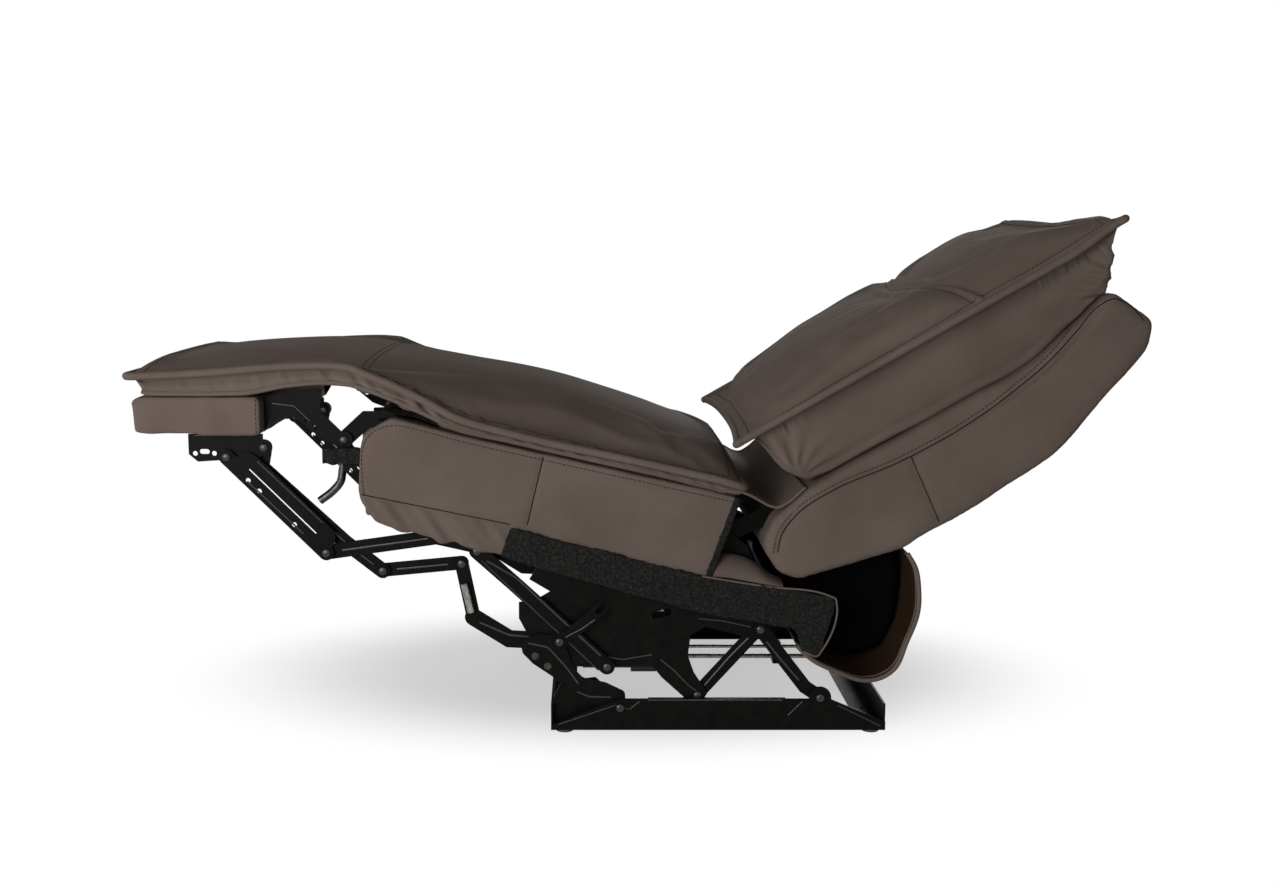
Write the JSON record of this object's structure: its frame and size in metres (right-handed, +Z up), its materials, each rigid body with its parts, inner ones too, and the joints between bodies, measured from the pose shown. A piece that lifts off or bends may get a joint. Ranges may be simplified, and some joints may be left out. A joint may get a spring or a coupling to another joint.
{
  "type": "armless power recliner",
  "caption": "Armless reclining chair seat with a padded chaise, a pillow back, a folding footrest and a wall-hugging steel mechanism, shown fully reclined.",
  "frame": {"origin": "on the floor, under the middle of the reclined chair's outer box", "axes": "+X towards the back, with the footrest at -X; +Y across the seat towards the sitter's right; +Z up from the floor"},
  "size_m": [1.568, 0.6106, 0.8178],
  "materials": {
    "leather": "grained, semi-matt",
    "felt": "matt felt",
    "liner": "matt woven lining",
    "frame_steel": "black enamel, satin",
    "plated_steel": "zinc plated",
    "spring_steel": "oiled wire",
    "black_plastic": "moulded",
    "motor_case": "black, satin"
  },
  "bodies": {
    "base": {"base_rail_left": "frame_steel", "base_rail_right": "frame_steel", "base_front_bar": "frame_steel", "base_rear_bar": "frame_steel", "base_feet": "black_plastic", "base_rivets": "plated_steel"},
    "rear_support_links": {"rear_support_link_left": "frame_steel", "rear_support_link_right": "frame_steel"},
    "front_support_links": {"front_support_link_left": "frame_steel", "front_support_link_right": "frame_steel", "front_link_bolts": "plated_steel"},
    "seat": {"side_plate_left": "frame_steel", "side_plate_right": "frame_steel", "seat_rail_left": "frame_steel", "seat_rail_right": "frame_steel", "front_arm_left": "frame_steel", "front_arm_right": "frame_steel", "arm_tubes": "plated_steel", "rear_braces": "frame_steel", "drive_channels": "frame_steel", "knee_hanger_left": "frame_steel", "knee_hanger_right": "frame_steel", "knee_stop_arms": "plated_steel", "seat_rivets": "plated_steel", "front_cross_tube": "frame_steel", "rear_cross_tube": "frame_steel", "drive_gearbox": "black_plastic", "drive_motor": "motor_case", "drive_screw": "plated_steel", "seat_side_left": "leather", "seat_side_right": "leather", "seat_front_board": "leather", "seat_rear_board": "liner", "seat_springs": "spring_steel", "seat_cushion": "leather", "skirt_board_left": "felt", "skirt_board_right": "felt", "rear_flap": "leather"},
    "drive_nut": {"drive_nut": "black_plastic"},
    "back": {"back_shell": "leather", "back_cushion": "leather", "back_bracket_left": "frame_steel", "back_bracket_right": "frame_steel"},
    "footrest": {"footrest_board": "leather", "leg_cushion": "leather", "footrest_bracket_left": "frame_steel", "footrest_bracket_right": "frame_steel", "knee_bracket_left": "frame_steel", "knee_bracket_right": "frame_steel", "footrest_rivets": "plated_steel"},
    "lower_links": {"lower_link_left": "frame_steel", "lower_link_right": "frame_steel", "lower_link_rivets": "plated_steel"},
    "rear_links": {"rear_link_left": "frame_steel", "rear_link_right": "frame_steel", "rear_link_rivets": "plated_steel"},
    "long_links": {"long_link_left": "frame_steel", "long_link_right": "frame_steel"},
    "cross_links": {"cross_link_left": "frame_steel", "cross_link_right": "frame_steel"}
  },
  "joints": [
    {"name": "wall_glide", "type": "hinge", "parent": "base", "child": "rear_support_links", "pos_m": [0.296, 0, 0.058], "axis": [0, 1, 0], "range_deg": [0, 45]},
    {"name": "seat_carry", "type": "hinge", "parent": "rear_support_links", "child": "seat", "pos_m": [0.1991, 0, 0.16908], "axis": [0, 1, 0], "range_deg": [-45, 0]},
    {"name": "front_support_pivot", "type": "hinge", "parent": "base", "child": "front_support_links", "pos_m": [-0.025, 0, 0.041], "axis": [0, 1, 0], "range_deg": [0, 45]},
    {"name": "back_recline", "type": "hinge", "parent": "seat", "child": "back", "pos_m": [0.12, 0, 0.312], "axis": [0, -1, 0], "range_deg": [0, 26]},
    {"name": "footrest_fold", "type": "hinge", "parent": "seat", "child": "footrest", "pos_m": [-0.46, 0, 0.474], "axis": [0, -1, 0], "range_deg": [0, 90]},
    {"name": "lower_link_pivot", "type": "hinge", "parent": "seat", "child": "lower_links", "pos_m": [-0.307, 0, 0.32], "axis": [0, -1, 0], "range_deg": [0, 90]},
    {"name": "rear_link_pivot", "type": "hinge", "parent": "seat", "child": "rear_links", "pos_m": [-0.278, 0, 0.274], "axis": [0, -1, 0], "range_deg": [0, 90]},
    {"name": "long_link_pivot", "type": "hinge", "parent": "lower_links", "child": "long_links", "pos_m": [-0.49097, 0, 0.29401], "axis": [0, -1, 0], "range_deg": [-90, 0]},
    {"name": "cross_link_pivot", "type": "hinge", "parent": "rear_links", "child": "cross_links", "pos_m": [-0.40403, 0, 0.262], "axis": [0, -1, 0], "range_deg": [-90, 0]},
    {"name": "drive_nut_slide", "type": "slide", "parent": "seat", "child": "drive_nut", "axis": [1, 0, 0], "range_m": [0, 0.06]}
  ],
  "couplings": [
    {"joint": "seat_carry", "follows": "wall_glide", "ratio": -1},
    {"joint": "front_support_pivot", "follows": "wall_glide", "ratio": 1},
    {"joint": "back_recline", "follows": "wall_glide", "ratio": 0.57778},
    {"joint": "lower_link_pivot", "follows": "footrest_fold", "ratio": 1},
    {"joint": "rear_link_pivot", "follows": "footrest_fold", "ratio": 1},
    {"joint": "long_link_pivot", "follows": "footrest_fold", "ratio": -1},
    {"joint": "cross_link_pivot", "follows": "footrest_fold", "ratio": -1},
    {"joint": "drive_nut_slide", "follows": "footrest_fold", "m_per_rad": 0.038}
  ]
}
